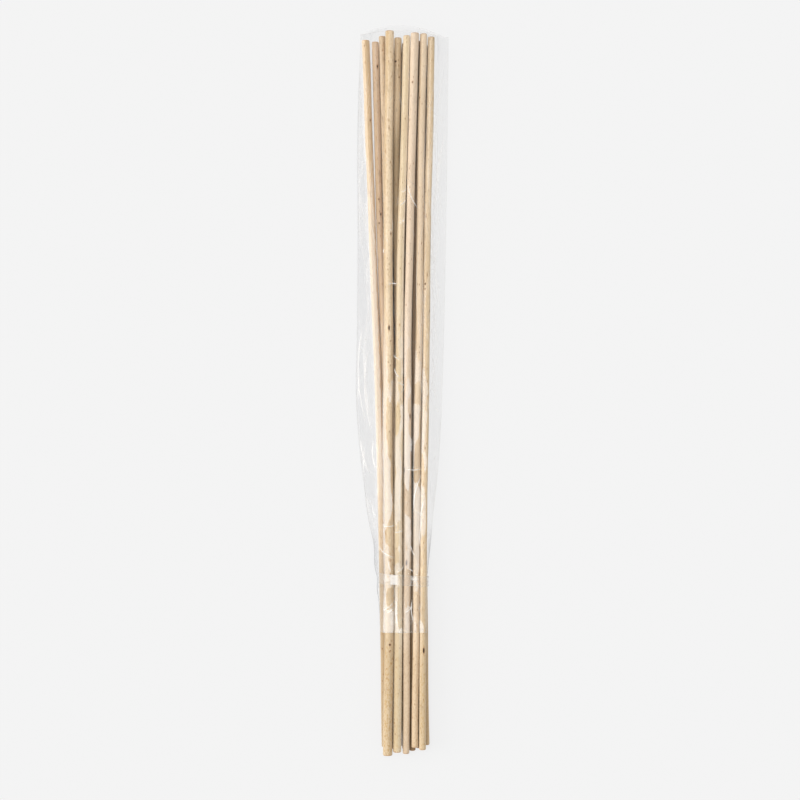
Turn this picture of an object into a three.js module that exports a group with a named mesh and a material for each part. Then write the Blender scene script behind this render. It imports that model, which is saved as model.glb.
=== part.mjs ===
import * as THREE from 'three';

// A bundle of peeled twigs in a clear film sleeve, lying on its side. Millimetres, +Z up.
// The twigs run along Y, with their cut butts at -Y and the open mouth of the sleeve at +Y.

// Twigs, from left to right in each row
// Sideways places are given at five stations: butt end, tie, below the middle, above it and tip end.
const PLACE_STATIONS = [-350, -183, -38, 145, 350];

// The lower row lies on the film. Each twig has its thickness at the butt and at the tip, the Y of both ends,
// its sideways places, how far its middle arches up, and its colour.
const LOWER_ROW = [
  {
    name: 'twig_01', butt: 6.2, tip: 7.5, ends: [-345.5, 339.5], arch: 0.4, colour: 0xe2c6a6,
    places: [-16.6, -19.1, -20.8, -28.2, -36.6],
  },
  {
    name: 'twig_02', butt: 6.4, tip: 6.6, ends: [-347.0, 338.0], arch: 0.0, colour: 0xcfb69b,
    places: [-10.2, -12.4, -15.5, -21.9, -26.5],
  },
  {
    name: 'twig_03', butt: 6.2, tip: 6.4, ends: [-345.0, 343.5], arch: 0.9, colour: 0xddc9ae,
    places: [-3.6, -5.5, -8.7, -15.2, -19.6],
  },
  {
    name: 'twig_05', butt: 6.4, tip: 7.2, ends: [-347.5, 342.0], arch: 0.3, colour: 0xcab18f,
    places: [3.0, 1.4, -1.9, -5.5, -4.4],
  },
  {
    name: 'twig_06', butt: 6.2, tip: 6.5, ends: [-349.0, 337.0], arch: 0.6, colour: 0xd2b48c,
    places: [9.5, 8.2, 5.1, 1.6, 2.5],
  },
  {
    name: 'twig_09', butt: 6.2, tip: 6.2, ends: [-346.5, 339.0], arch: 0.0, colour: 0xcaa982,
    places: [15.9, 14.9, 12.1, 12.1, 15.0],
  },
  {
    name: 'twig_12', butt: 6.0, tip: 5.8, ends: [-343.5, 335.0], arch: 0.5, colour: 0xd6bb94,
    places: [23.4, 21.2, 18.9, 18.4, 21.3],
  },
];

// The upper row lies on the lower one.
const UPPER_ROW = [
  {
    name: 'twig_04', butt: 9.1, tip: 8.3, ends: [-352.5, 347.5], arch: 0.0, colour: 0xe5ceac,
    places: [-14.0, -12.7, -13.7, -13.8, -12.7],
  },
  {
    name: 'twig_07', butt: 8.1, tip: 6.7, ends: [-349.5, 343.0], arch: 0.0, colour: 0xe4d0ad,
    places: [-5.3, -4.1, -3.7, -1.3, 5.0],
  },
  {
    name: 'twig_08', butt: 6.3, tip: 8.0, ends: [-351.0, 345.5], arch: 0.0, colour: 0xe2c9ac,
    places: [3.1, 4.7, 5.0, 6.8, 12.0],
  },
  {
    name: 'twig_10', butt: 6.5, tip: 6.6, ends: [-345.0, 345.0], arch: 0.0, colour: 0xe6cca8,
    places: [12.2, 13.7, 14.6, 16.9, 20.1],
  },
  {
    name: 'twig_11', butt: 6.5, tip: 6.9, ends: [-347.0, 342.5], arch: 0.0, colour: 0xdac29f,
    places: [19.4, 19.8, 21.8, 24.1, 28.1],
  },
];

const TWIG_SIDES = 9;
const TWIG_GAP = 0.35; // between neighbouring twigs
const CUT_EDGE = 0.7; // the rounded-off edge of a cut end
const OUT_OF_ROUND = 0.06; // how far a twig's side falls in, as a share of its radius
const CROOKED = 0.45; // how far a twig strays to each side of its smooth run
const CROOKED_WAVES = [260, 145]; // the lengths of the two waves that it strays in
const STATION_STEP = 30;

// Sleeve
const FILM_WALL = 0.5;
const FILM_GAP = 0.35; // from a twig to the film
const FOLD_RADIUS = 1.2; // of the folds that run down both sides
const SLEEVE_BOTTOM = -233.5;
const MOUTH_MIDDLE = 352.5; // the furthest point of the curved mouth
const MOUTH_CURVE = 9.2; // how far the mouth falls back at MOUTH_HALF from its furthest point
const MOUTH_HALF = 44;
const MOUTH_X = -4;
const SLEEVE_STATIONS = [-233.5, -203, -180, -150, -125, -87, -55, -10, 60, 150, 250, 352.5];
const SLEEVE_LEFT = [-21.8, -22.9, -25.4, -27.6, -33.4, -38.2, -42, -45, -44.2, -43.6, -43.8, -40.6];
const SLEEVE_RIGHT = [23.9, 24.2, 25.2, 27.3, 29.6, 33.8, 36.3, 38.5, 40.5, 42.4, 43.9, 45];
const FILM_COLOUR = 0xe8e7e4;

// Tape
const TAPE_MIDDLE = -183;
const TAPE_WIDTH = 10;
const TAPE_WALL = 0.4;
const TAPE_GAP = 0.3; // from the film to the tape
const TAPE_COLOUR = 0xeeedea;
const TAPE_RISE = [-165, -110]; // the film comes down from the tape to the floor over this stretch

// The film's outline at a station is a polygon whose sides face in these directions, in degrees off straight up
// for the top side and off straight down for the underside.
const TOP_TILTS = [82, 66, 52, 40, 30, 21, 13, 6, 0, -6, -13, -21, -30, -40, -52, -66, -82];
const UNDER_TILTS = [-70, -45, -20, 0, 20, 45, 70];

const TAPE_ENDS = [TAPE_MIDDLE - TAPE_WIDTH / 2, TAPE_MIDDLE + TAPE_WIDTH / 2];

// Shapes along the bundle
function smoothRun(stations, values) {
  const run = new THREE.CubicInterpolant(stations, values, 1, new Float32Array(1));
  return (y) => run.evaluate(y)[0];
}

function tapeLift(y) {
  const down = THREE.MathUtils.smoothstep(y, TAPE_RISE[0], TAPE_RISE[1]);
  return (TAPE_WALL + TAPE_GAP) * (1 - down);
}

function underside(y) {
  return FILM_WALL + FILM_GAP + tapeLift(y);
}

function radius(twig, y) {
  const along = (y - twig.ends[0]) / (twig.ends[1] - twig.ends[0]);
  return THREE.MathUtils.lerp(twig.butt, twig.tip, along) / 2;
}

function strayed(y, order) {
  const [long, short] = CROOKED_WAVES;
  const slow = Math.sin((2 * Math.PI * y) / long + 1.9 * order);
  const quick = Math.sin((2 * Math.PI * y) / short + 4.1 * order);
  return CROOKED * (0.7 * slow + 0.3 * quick);
}

// Sideways places of one row at a station: the twigs are pushed apart until all keep their gap.
const SPREAD_PASSES = 200;
function placesAcross(row, y) {
  const places = row.map((twig, order) => twig.run(y) + strayed(y, order));
  for (let pass = 0; pass < SPREAD_PASSES; pass += 1) {
    for (let i = 1; i < row.length; i += 1) {
      const apart = radius(row[i - 1], y) + radius(row[i], y) + TWIG_GAP;
      const short = apart - (places[i] - places[i - 1]);
      if (short > 0) {
        places[i - 1] -= short / 2;
        places[i] += short / 2;
      }
    }
  }
  return places;
}

function arched(twig, y) {
  const along = THREE.MathUtils.clamp((y - twig.ends[0]) / (twig.ends[1] - twig.ends[0]), 0, 1);
  return twig.arch * Math.sin(Math.PI * along) ** 2;
}

// The lowest height at which an upper twig clears the film and all the lower twigs at a station.
function clearHeight(twig, x, y, lowerDiscs) {
  let height = underside(y) + radius(twig, y);
  for (const disc of lowerDiscs) {
    const apart = radius(twig, y) + disc.r + TWIG_GAP;
    const sideways = Math.abs(x - disc.x);
    if (sideways < apart) {
      height = Math.max(height, disc.z + Math.sqrt(apart ** 2 - sideways ** 2));
    }
  }
  return height;
}

// A stiff twig rests on two high places, one on each side of its middle. Returns its height as a function of Y.
function restingLine(twig, points) {
  const middle = (twig.ends[0] + twig.ends[1]) / 2;
  let best = null;
  for (const first of points.filter((point) => point.y <= middle)) {
    for (const second of points.filter((point) => point.y > middle)) {
      const slope = (second.z - first.z) / (second.y - first.y);
      const atMiddle = first.z + slope * (middle - first.y);
      if (best === null || atMiddle > best.atMiddle) {
        best = { atMiddle, slope };
      }
    }
  }
  return (y) => best.atMiddle + best.slope * (y - middle);
}

for (const twig of [...LOWER_ROW, ...UPPER_ROW]) {
  twig.run = smoothRun(PLACE_STATIONS, twig.places);
}

function lowerDiscsAt(y) {
  const places = placesAcross(LOWER_ROW, y);
  return LOWER_ROW.map((twig, i) => {
    const r = radius(twig, y);
    return { x: places[i], z: underside(y) + r + arched(twig, y), r };
  });
}

// Stations that all the pieces share, so that straight stretches between them keep their gaps.
const STATIONS = [SLEEVE_BOTTOM, ...TAPE_ENDS];
for (let y = -330; y <= 330; y += STATION_STEP) {
  STATIONS.push(y);
}
STATIONS.sort((a, b) => a - b);

const upperPlaces = new Map(STATIONS.map((y) => [y, placesAcross(UPPER_ROW, y)]));
UPPER_ROW.forEach((twig, i) => {
  const points = STATIONS.map((y) => ({
    y,
    z: clearHeight(twig, upperPlaces.get(y)[i], y, lowerDiscsAt(y)),
  }));
  twig.height = restingLine(twig, points);
});

function upperDiscsAt(y) {
  const places = placesAcross(UPPER_ROW, y);
  return UPPER_ROW.map((twig, i) => ({ x: places[i], z: twig.height(y), r: radius(twig, y) }));
}

// One twig: a round rod whose rings are moved to their places along its run.
function twigGeometry(twig, discAt) {
  const [butt, tip] = twig.ends;
  const inside = STATIONS.filter((y) => y > butt + 3 * CUT_EDGE && y < tip - 3 * CUT_EDGE);
  const rings = [butt, butt + CUT_EDGE, ...inside, tip - CUT_EDGE, tip];
  const geometry = new THREE.CylinderGeometry(1, 1, 1, TWIG_SIDES, rings.length - 1);
  const points = geometry.getAttribute('position');
  const discs = rings.map((y) => discAt(y));
  for (let i = 0; i < points.count; i += 1) {
    const ring = Math.round((points.getY(i) + 0.5) * (rings.length - 1));
    const atEnd = ring === 0 || ring === rings.length - 1;
    const side = Math.atan2(points.getZ(i), points.getX(i));
    const fallsIn = (OUT_OF_ROUND / 2) * (1 + Math.sin(2 * side + rings[ring] / 90 + twig.butt));
    const r = (discs[ring].r - (atEnd ? CUT_EDGE : 0)) * (1 - fallsIn);
    points.setXYZ(
      i,
      discs[ring].x + r * points.getX(i),
      rings[ring],
      discs[ring].z + r * points.getZ(i),
    );
  }
  return geometry;
}

// The film's outline
const leftEdge = smoothRun(SLEEVE_STATIONS, SLEEVE_LEFT);
const rightEdge = smoothRun(SLEEVE_STATIONS, SLEEVE_RIGHT);
const FACINGS = [
  ...TOP_TILTS.map((tilt) => THREE.MathUtils.degToRad(90 - tilt)),
  ...UNDER_TILTS.map((tilt) => THREE.MathUtils.degToRad(270 + tilt)),
];

// How far the sleeve's outside reaches in each facing direction at a station: past all the twigs and both folds.
function filmReach(y) {
  const foldHeight = FOLD_RADIUS + tapeLift(y);
  const discs = [
    { x: leftEdge(y) + FOLD_RADIUS, z: foldHeight, r: FOLD_RADIUS },
    { x: rightEdge(y) - FOLD_RADIUS, z: foldHeight, r: FOLD_RADIUS },
  ];
  for (const disc of [...lowerDiscsAt(y), ...upperDiscsAt(y)]) {
    discs.push({ x: disc.x, z: disc.z, r: disc.r + FILM_GAP + FILM_WALL });
  }
  return FACINGS.map((facing) => {
    const reaches = discs.map((d) => d.x * Math.cos(facing) + d.z * Math.sin(facing) + d.r);
    return Math.max(...reaches);
  });
}

// The corner between two neighbouring sides of the outline.
function corner(reach, i) {
  const next = (i + 1) % FACINGS.length;
  const across = Math.sin(FACINGS[next] - FACINGS[i]);
  const x = (reach[i] * Math.sin(FACINGS[next]) - reach[next] * Math.sin(FACINGS[i])) / across;
  const z = (reach[next] * Math.cos(FACINGS[i]) - reach[i] * Math.cos(FACINGS[next])) / across;
  return { x, z };
}

// A closed wall between an inner and an outer outline at each station. The lathe gives the closed ring, and its
// points are then moved onto the outlines.
function wallGeometry(stations, innerOffset, outerOffset, endY) {
  const loop = [];
  stations.forEach((y, i) => loop.push({ station: i, offset: innerOffset }));
  [...stations.keys()].reverse().forEach((i) => loop.push({ station: i, offset: outerOffset }));
  loop.push(loop[0]);
  const profile = loop.map((stop) => new THREE.Vector2(50 + stop.offset, stations[stop.station]));
  const geometry = new THREE.LatheGeometry(profile, FACINGS.length);
  const points = geometry.getAttribute('position');
  const reaches = stations.map((y) => filmReach(y));
  for (let i = 0; i < points.count; i += 1) {
    const stop = loop[i % loop.length];
    const turn = Math.floor(i / loop.length) % FACINGS.length;
    const reach = reaches[stop.station].map((value) => value + stop.offset);
    const { x, z } = corner(reach, turn);
    points.setXYZ(i, x, endY(x, stations[stop.station]), z);
  }
  return geometry;
}

function curvedMouth(x, y) {
  const fallsBack = MOUTH_CURVE * ((x - MOUTH_X) / MOUTH_HALF) ** 2;
  return y === MOUTH_MIDDLE ? y - fallsBack : y;
}

// Pieces
const group = new THREE.Group();
group.name = 'bundle_of_twigs';

function addPiece(name, geometry, look) {
  geometry.computeVertexNormals();
  const mesh = new THREE.Mesh(geometry, new THREE.MeshStandardMaterial(look));
  mesh.name = name;
  group.add(mesh);
}

LOWER_ROW.forEach((twig, i) => {
  const geometry = twigGeometry(twig, (y) => lowerDiscsAt(y)[i]);
  addPiece(twig.name, geometry, { color: twig.colour, roughness: 0.6, metalness: 0 });
});

UPPER_ROW.forEach((twig, i) => {
  const geometry = twigGeometry(twig, (y) => upperDiscsAt(y)[i]);
  addPiece(twig.name, geometry, { color: twig.colour, roughness: 0.6, metalness: 0 });
});

const sleeveStations = [...STATIONS.filter((y) => y >= SLEEVE_BOTTOM), MOUTH_MIDDLE];
addPiece(
  'sleeve',
  wallGeometry(sleeveStations, -FILM_WALL, 0, curvedMouth),
  { color: FILM_COLOUR, roughness: 0.15, metalness: 0, transparent: true, opacity: 0.3 },
);

addPiece(
  'tape',
  wallGeometry(TAPE_ENDS, TAPE_GAP, TAPE_GAP + TAPE_WALL, (x, y) => y),
  { color: TAPE_COLOUR, roughness: 0.1, metalness: 0, transparent: true, opacity: 0.4 },
);

export default group;
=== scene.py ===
# %% [markdown]
# # A bundle of peeled twigs in a film sleeve
# Twelve peeled twigs lie in a tube of clear film with a band of clear tape, seen from straight above. The
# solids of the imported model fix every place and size. This lesson adds what they leave out: grain, bud
# scars, cut ends, creases and shine.

# %% Load the solids
import math

import bmesh
import bpy
import numpy as np
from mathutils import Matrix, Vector


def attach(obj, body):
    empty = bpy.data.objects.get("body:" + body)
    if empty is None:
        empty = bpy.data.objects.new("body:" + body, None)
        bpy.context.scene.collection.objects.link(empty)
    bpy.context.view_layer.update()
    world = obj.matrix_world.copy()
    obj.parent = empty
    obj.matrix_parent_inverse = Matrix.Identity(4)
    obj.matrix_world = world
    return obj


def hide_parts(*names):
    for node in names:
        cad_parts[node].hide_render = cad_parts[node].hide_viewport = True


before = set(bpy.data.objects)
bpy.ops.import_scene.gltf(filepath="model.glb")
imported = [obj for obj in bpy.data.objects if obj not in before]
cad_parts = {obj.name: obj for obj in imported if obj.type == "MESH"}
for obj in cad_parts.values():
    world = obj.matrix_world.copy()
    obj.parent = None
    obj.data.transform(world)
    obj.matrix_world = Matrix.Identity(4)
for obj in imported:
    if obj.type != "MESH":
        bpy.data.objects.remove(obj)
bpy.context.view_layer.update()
MM = 0.001
scene = bpy.context.scene

# %% [markdown]
# ## Camera
# The picture looks square down on the bundle, and so does the camera. A long lens from far away keeps the
# twigs as parallel as they are in the photograph. The picture's width covers 774 mm of floor.

# %% Camera
VIEW_WIDTH = 773.6 * MM
VIEW_MIDDLE = Vector((-2.4 * MM, -9.2 * MM, 10 * MM))
LENS = 100
SENSOR = 36

lens = bpy.data.cameras.new("lens")
lens.lens = LENS
lens.sensor_width = SENSOR
camera = bpy.data.objects.new("camera", lens)
camera.location = VIEW_MIDDLE + Vector((0, 0, VIEW_WIDTH * LENS / SENSOR))
scene.collection.objects.link(camera)
scene.camera = camera
print("camera hangs", round(camera.location.z, 3), "m over the floor")

# %% [markdown]
# ## Shader sums
# A finish is a tree of nodes, and long trees are hard to read as links. One class wraps a socket, so that
# Python's own signs add Math nodes, and a second makes any other node from its type, settings and inputs.


# %% Shader sums
class Flow:
    """The output of a node, which takes part in sums."""

    def __init__(self, finish, socket):
        self.finish = finish
        self.socket = socket

    def __add__(self, other):
        return self.finish.math("ADD", self, other)

    def __sub__(self, other):
        return self.finish.math("SUBTRACT", self, other)

    def __rsub__(self, other):
        return self.finish.math("SUBTRACT", other, self)

    def __mul__(self, other):
        return self.finish.math("MULTIPLY", self, other)

    __radd__ = __add__
    __rmul__ = __mul__


class Finish:
    """A material, or the sky, whose nodes are added one by one."""

    def __init__(self, owner):
        self.owner = owner
        owner.use_nodes = True
        self.tree = owner.node_tree
        self.tree.nodes.clear()

    def node(self, kind, settings=None, inputs=None, output=0):
        made = self.tree.nodes.new(kind)
        for name, value in (settings or {}).items():
            setattr(made, name, value)
        for key, value in (inputs or {}).items():
            if isinstance(value, Flow):
                self.tree.links.new(value.socket, made.inputs[key])
            else:
                made.inputs[key].default_value = value
        return Flow(self, made.outputs[output])

    def math(self, operation, first, second=0.0):
        return self.node("ShaderNodeMath", {"operation": operation}, {0: first, 1: second})

    def attribute(self, name, output="Fac"):
        return self.node("ShaderNodeAttribute", {"attribute_name": name}, output=output)

    def part(self, vector, axis):
        return self.node("ShaderNodeSeparateXYZ", None, {0: vector}, output=axis)

    def stretched(self, vector, across, along):
        """A vector scaled across the piece and along it, its third part."""
        scale = (across, across, along)
        return self.node("ShaderNodeVectorMath", {"operation": "MULTIPLY"}, {0: vector, 1: scale})

    def noise(self, vector, across, along, detail, rough):
        """Soft noise from 0 to 1, scaled across and along the piece."""
        place = self.stretched(vector, across, along)
        inputs = {"Vector": place, "Scale": 1.0, "Detail": detail, "Roughness": rough}
        return self.node("ShaderNodeTexNoise", {"normalize": True}, inputs)

    def step(self, value, low, high):
        """0 below low and 1 above high, with a soft step between."""
        settings = {"interpolation_type": "SMOOTHSTEP"}
        return self.node("ShaderNodeMapRange", settings, {"Value": value, 1: low, 2: high})

    def mix(self, share, first, second):
        inputs = {0: share, 6: first, 7: second}
        return self.node("ShaderNodeMix", {"data_type": "RGBA"}, inputs, output=2)

    def blend(self, share, first, second):
        return self.node("ShaderNodeMixShader", None, {0: share, 1: first, 2: second})

    def bump(self, height, depth):
        return self.node("ShaderNodeBump", None, {"Height": height, "Distance": depth, "Strength": 1.0})

    def principled(self, inputs):
        return self.node("ShaderNodeBsdfPrincipled", None, inputs)

    def done(self, shader, kind="ShaderNodeOutputMaterial"):
        end = self.tree.nodes.new(kind)
        self.tree.links.new(shader.socket, end.inputs["Surface"])
        return self.owner


def new_finish(name):
    return Finish(bpy.data.materials.new(name))


STAGE_LIGHT = 1.3  # how bright a white sheet shows, where 1 is the screen's white


def paint_of(red, green, blue):
    """The paint that shows as a screen colour under the stage's light."""
    parts = [value / 255 for value in (red, green, blue)]
    lit = [p / 12.92 if p <= 0.04045 else ((p + 0.055) / 1.055) ** 2.4 for p in parts]
    return (*[value / STAGE_LIGHT for value in lit], 1.0)


print("a white sheet shows as", STAGE_LIGHT)

# %% [markdown]
# ## Stage
# The ground of the photograph is an even pale grey with hardly a shadow, yet the gaps between the twigs are
# dark. So the floor is a light table whose painted glow beside the twigs washes out their shadows, and under
# the twigs it is painted dark brown as shade. A broad key and a lamp at the left leave each twig's right
# flank darker, and a weak lamp at the right and a pale sky fill in. Two small lamps are there to be mirrored
# by the film. Suns with a wide angle act as softboxes.


# %% Stage
def add_mesh(name, form):
    """A new object at the origin from a bmesh."""
    mesh = bpy.data.meshes.new(name)
    form.to_mesh(mesh)
    form.free()
    made = bpy.data.objects.new(name, mesh)
    scene.collection.objects.link(made)
    return made


FLOOR_HALF = 12.0
FLOOR_DROP = 0.1 * MM
floor_form = bmesh.new()
bmesh.ops.create_grid(floor_form, x_segments=2, y_segments=2, size=FLOOR_HALF)
bmesh.ops.translate(floor_form, verts=floor_form.verts, vec=(0, 0, -FLOOR_DROP))
floor = add_mesh("floor", floor_form)

# From where to where the glow rises beside the middle line, and how the bundle's sides lean.
RIGHT_GLOW = (20 * MM, 24 * MM)
RIGHT_LEAN = 0.012
LEFT_GLOW = (20.5 * MM, 23 * MM)
LEFT_LEAN = 0.018
END_GLOW = ((325 * MM) ** 2, (340 * MM) ** 2)  # squared, for both ends at once
GLOW = 0.769
BLACK = (0.0, 0.0, 0.0, 1.0)
WHITE = (1.0, 1.0, 1.0, 1.0)
# Under the twigs the floor is painted dark warm brown as shade; beside them it glows with painted light.
PALE_FLOOR = (0.1, 0.1, 0.1, 1.0)
SHADE_BROWN_FLOOR = (0.1, 0.065, 0.035, 1.0)

table = new_finish("pale_floor")
place = table.node("ShaderNodeTexCoord", output="Object")
x, y = [table.part(place, axis) for axis in "XY"]
right_of_twigs = table.step(x - RIGHT_LEAN * y, *RIGHT_GLOW)
left_of_twigs = table.step(-LEFT_LEAN * y - x, *LEFT_GLOW)
past_ends = table.step(y * y, *END_GLOW)
beside = table.step(right_of_twigs + left_of_twigs + past_ends, 0.0, 1.0)
floor_paint = {
    "Base Color": table.mix(beside, SHADE_BROWN_FLOOR, PALE_FLOOR),
    "Roughness": 0.9,
    "Specular IOR Level": 0.0,
    "Emission Color": table.mix(beside, BLACK, WHITE),
    "Emission Strength": GLOW,
}
floor.data.materials.append(table.done(table.principled(floor_paint)))

# Name, strength, degrees of sky it fills, where it comes from, and whether gloss mirrors it.
LAMPS = [
    ("key", 1.2, 36, (-0.3, 0.12, 1.0), False),
    ("left_side", 1.75, 40, (-2.0, 0.15, 1.0), False),
    ("right_side", 0.2, 40, (2.0, 0.1, 1.0), False),
    ("sheen", 0.02, 10, (-0.55, 0.1, 1.0), True),
    ("glint", 0.06, 6, (0.3, -0.3, 1.0), True),
]
for name, strength, width, come_from, mirrored in LAMPS:
    lamp = bpy.data.lights.new(name, "SUN")
    lamp.energy = strength
    lamp.angle = math.radians(width)
    sun = bpy.data.objects.new(name, lamp)
    sun.rotation_euler = Vector(come_from).to_track_quat("Z", "Y").to_euler()
    sun.visible_glossy = mirrored
    scene.collection.objects.link(sun)

# The sky's strength as light, in mirrors, and where the camera sees it.
FILL = 0.68
MIRRORED_FILL = 0.28
BACKDROP = 0.9
FILM_LAYERS = 32  # how many see-through walls a ray may cross
scene.world = bpy.data.worlds.new("fill")
sky = Finish(scene.world)
in_mirror = sky.node("ShaderNodeLightPath", output="Is Glossy Ray")
seen = sky.node("ShaderNodeLightPath", output="Is Camera Ray")
sky_strength = FILL + (MIRRORED_FILL - FILL) * in_mirror + (BACKDROP - FILL) * seen
white_sky = sky.node("ShaderNodeBackground", None, {"Color": WHITE, "Strength": sky_strength})
sky.done(white_sky, "ShaderNodeOutputWorld")
scene.view_settings.view_transform = "Standard"
scene.cycles.transparent_max_bounces = FILM_LAYERS
print("floor", 2 * FLOOR_HALF, "m wide,", len(LAMPS), "lamps and a pale sky")

# %% [markdown]
# ## Runs of the twigs
# Each solid twig is a rod of rings, so its centre line and thickness can be read back ring by ring. A
# smooth curve through them gives the finer rings of the dressed twig, and keeps it where its solid is.


# %% Runs of the twigs
def smooth_run(stations, values, wanted):
    """A smooth curve through values at stations, read at the wanted places."""
    slopes = np.gradient(values, stations)
    i = np.clip(np.searchsorted(stations, wanted) - 1, 0, len(stations) - 2)
    gap = stations[i + 1] - stations[i]
    t = (wanted - stations[i]) / gap
    start = (1 + 2 * t) * (1 - t) ** 2 * values[i] + t * (1 - t) ** 2 * gap * slopes[i]
    end = t**2 * (3 - 2 * t) * values[i + 1] + t**2 * (t - 1) * gap * slopes[i + 1]
    return start + end


class TwigRun:
    """Centre line and radius of a twig along Y, in millimetres."""

    MEAN_SHARE = 0.97  # mean reach of a ring's points over its radius
    SAME_RING = 0.02
    OFF_MIDDLE = 1  # nearer points are the middle of an end

    def __init__(self, name):
        points = np.array([v.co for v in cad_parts[name].data.vertices]) / MM
        points = np.unique(points.round(3), axis=0)
        self.stations = np.unique(points[:, 1].round(2))
        centres = []
        radii = []
        for y in self.stations:
            ring = points[np.abs(points[:, 1] - y) < self.SAME_RING]
            middle = ring.mean(axis=0)
            reach = np.hypot(ring[:, 0] - middle[0], ring[:, 2] - middle[2])
            centres.append(middle)
            radii.append(reach[reach > self.OFF_MIDDLE].mean() / self.MEAN_SHARE)
        self.centres = np.array(centres)
        self.radii = np.array(radii)
        self.butt, self.tip = self.stations[[0, -1]]

    def at(self, y):
        """Centre X, centre Z and radius at Y."""
        inside = slice(1, -1)
        lines = (self.centres[inside, 0], self.centres[inside, 2], self.radii[inside])
        return [smooth_run(self.stations[inside], line, y) for line in lines]


TWIG_NAMES = [f"twig_{number:02d}" for number in range(1, 13)]
runs = {name: TwigRun(name) for name in TWIG_NAMES}
for name, run in runs.items():
    x, z, r = run.at(0.0)
    print(name, "from", run.butt, "to", run.tip, "mm, radius", round(float(r), 2), "mm")

# %% [markdown]
# ## Bud scars
# A peeled twig keeps a small dark scar where each bud or side shoot sat, which makes it look grown and not
# turned on a lathe. Those on the upper side follow the photograph. On the undersides a few more are strewn
# from a fixed seed.

# %% Bud scars
# Y in mm, place across the twig from -1 (left) to 1 (right), length and width in mm, and darkness of each.
SEEN_SCARS = {
    "twig_01": [
        (317.7, -0.35, 1.6, 1.1, 0.6), (290.0, -0.3, 1.4, 1.0, 0.5), (261.6, 0.5, 1.8, 1.1, 0.9),
        (21.8, 0.4, 1.6, 1.0, 0.6), (23.0, -0.5, 1.2, 0.8, 0.6), (-250.0, -0.5, 1.8, 1.0, 0.8),
    ],
    "twig_02": [
        (313.8, 0.5, 2.8, 1.3, 0.95), (280.0, 0.2, 1.6, 1.0, 0.55), (185.2, 0.0, 2.0, 1.4, 0.8),
        (170.7, 0.45, 2.8, 1.2, 0.9), (162.0, -0.1, 1.6, 1.3, 0.9),
    ],
    "twig_03": [(334.0, 0.2, 2.4, 1.2, 0.55), (329.5, 0.1, 2.0, 1.3, 0.7), (326.0, 0.5, 1.4, 1.1, 0.6)],
    "twig_04": [
        (260.5, -0.1, 2.6, 0.8, 0.7), (252.9, 0.15, 3.6, 0.9, 0.75), (230.6, -0.6, 3.6, 0.8, 0.65),
        (151.3, 0.62, 3.0, 1.2, 0.8), (60.4, 0.13, 4.2, 1.3, 1.0), (-37.2, -0.5, 1.8, 1.0, 0.6),
        (-105.9, 0.85, 2.4, 1.2, 0.8), (-163.9, 0.22, 2.4, 1.1, 0.7), (-245.1, 0.18, 2.2, 1.5, 0.9),
        (-250.9, 0.28, 1.5, 1.2, 0.75),
    ],
    "twig_05": [(318.6, -0.55, 1.7, 1.5, 1.0), (303.2, 0.4, 1.5, 1.1, 0.85)],
    "twig_07": [(63.3, 0.0, 2.0, 1.0, 0.65)],
    "twig_08": [
        (329.0, -0.2, 1.2, 0.9, 0.5), (297.4, -0.25, 1.8, 1.3, 0.8), (219.0, 0.5, 1.6, 1.0, 0.6),
        (82.7, -0.6, 1.6, 1.2, 0.7), (-24.7, 0.6, 4.6, 1.2, 0.9), (-77.0, -0.9, 5.0, 1.6, 1.0),
        (-166.3, -0.25, 4.8, 1.4, 1.0), (-263.0, 0.85, 3.2, 1.2, 0.7),
    ],
    "twig_10": [(282.8, -0.65, 2.0, 1.1, 0.8)],
    "twig_11": [
        (340.0, -0.4, 1.6, 1.1, 0.6), (282.0, 0.7, 1.6, 0.9, 0.6), (218.0, 0.7, 1.6, 1.0, 0.6),
        (168.2, -0.4, 1.7, 1.2, 0.75), (111.7, 0.1, 4.2, 0.8, 0.75), (103.0, -0.45, 1.8, 1.2, 1.0),
        (98.1, -0.45, 1.5, 1.1, 0.8), (76.9, 0.8, 2.0, 1.1, 0.8), (-55.6, 0.05, 2.0, 0.9, 0.8),
        (-250.9, 0.2, 4.8, 1.4, 1.0),
    ],
}
HIDDEN_SCARS = 7
SCAR_SEED = 41
FROM_ENDS = 15
# Where round a twig the strewn ones lie, their half length, half width and darkness, each from and to.
HIDDEN_SPANS = ((math.radians(200), math.radians(340)), (0.8, 2.2), (0.5, 0.8), (0.55, 1.0))
rng = np.random.default_rng(SCAR_SEED)
scars = {}
for name in TWIG_NAMES:
    scars[name] = []
    for y, side, length, width, dark in SEEN_SCARS.get(name, []):
        scars[name].append((y, math.acos(side), length / 2, width / 2, dark))
    for _ in range(HIDDEN_SCARS):
        y = rng.uniform(runs[name].butt + FROM_ENDS, runs[name].tip - FROM_ENDS)
        rest = [rng.uniform(*span) for span in HIDDEN_SPANS]
        scars[name].append((y, *rest))
print(sum(len(found) for found in scars.values()), "bud scars on", len(scars), "twigs")

# %% [markdown]
# ## Twigs
# A curve with a round bevel can't carry scars. So a cone tool makes a rod, its long edges are cut into
# rings, and each ring is moved to its station on the run. Rings are close at the scars and at both ends,
# where they make a lip, a pit or a rounded cut edge.


# %% Twigs
def ringed_tube(around, rings, capped):
    """A rod or tube of unit size, and the ring and column of each point."""
    form = bmesh.new()
    bmesh.ops.create_cone(form, cap_ends=capped, segments=around, radius1=1, radius2=1, depth=2)
    form.verts.ensure_lookup_table()
    long_edges = [edge for edge in form.edges if abs(edge.verts[0].co.z - edge.verts[1].co.z) > 1]
    bmesh.ops.subdivide_edges(form, edges=long_edges, cuts=rings - 2, use_grid_fill=True)
    places = np.array([vert.co for vert in form.verts])
    ring = np.rint((places[:, 2] + 1) / 2 * (rings - 1)).astype(int)
    turn = np.arctan2(-places[:, 1], places[:, 0]) % (2 * math.pi)
    column = np.rint(turn / (2 * math.pi) * around).astype(int) % around
    return form, ring, column


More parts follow.
